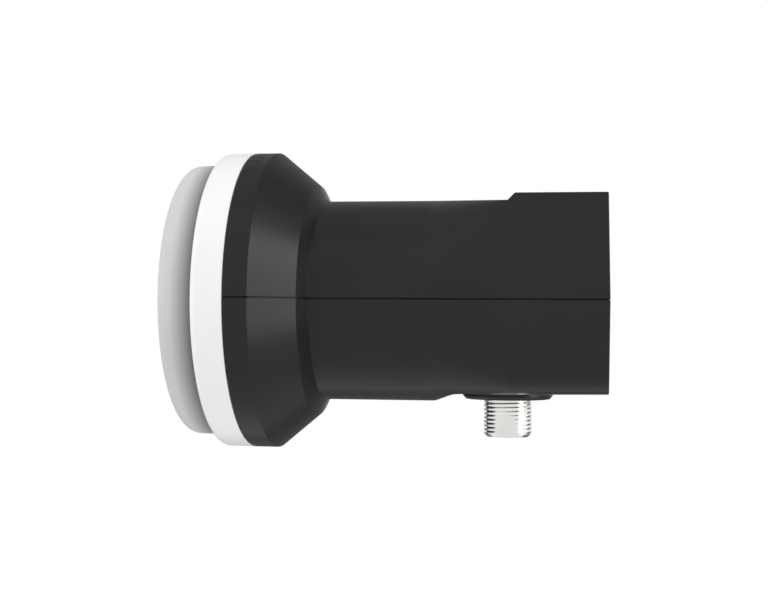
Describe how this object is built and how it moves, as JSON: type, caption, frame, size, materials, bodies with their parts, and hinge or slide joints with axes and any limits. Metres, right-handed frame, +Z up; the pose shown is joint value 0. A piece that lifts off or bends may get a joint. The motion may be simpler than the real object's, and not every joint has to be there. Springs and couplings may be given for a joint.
{
  "type": "satellite lnb",
  "caption": "Satellite LNB: round feed-horn head with a grey cap and a white ring, a cylindrical clamp neck, a squared rear end and a threaded cable socket underneath.",
  "frame": {"origin": "on the horn's axis, in the middle of the clamp neck", "axes": "+X along the horn's axis from the capped mouth to the rear end, +Z up, cable socket pointing to -Z"},
  "size_m": [0.0849, 0.0596, 0.0596],
  "materials": {
    "grey_cap": "light grey moulded plastic, satin",
    "white_ring": "white moulded plastic, semi-gloss",
    "black_shell": "black moulded plastic, fine satin grain",
    "cast_alloy": "die-cast aluminium alloy, as cast",
    "brass_pin": "turned brass, bright",
    "white_bush": "white low-loss plastic",
    "board_laminate": "green solder mask on laminate",
    "chip_black": "moulded chip body",
    "crystal_can": "plain metal can",
    "capacitor_ceramic": "fired ceramic",
    "black_rubber": "soft black rubber",
    "screw_steel": "zinc-plated steel",
    "nickel_barrel": "bright nickel plate on turned brass"
  },
  "bodies": {
    "root": {"front_cap": "grey_cap", "cap_seal": "black_rubber", "trim_ring": "white_ring", "upper_shell": "black_shell", "lower_shell": "black_shell", "horn_casting": "cast_alloy", "isolation_pin": "brass_pin", "upright_probe": "brass_pin", "level_probe": "brass_pin", "probe_bushes": "white_bush", "circuit_board": "board_laminate", "lna_transistors": "chip_black", "converter_chip": "chip_black", "reference_crystal": "crystal_can", "voltage_regulator": "chip_black", "supply_choke": "chip_black", "chip_capacitors": "capacitor_ceramic", "chip_resistors": "chip_black", "shield_cover": "cast_alloy", "cover_gasket": "black_rubber", "cover_screws": "screw_steel", "connector_body": "nickel_barrel", "connector_insulator": "white_bush", "connector_contact": "brass_pin", "connector_seal": "black_rubber"}
  },
  "joints": []
}
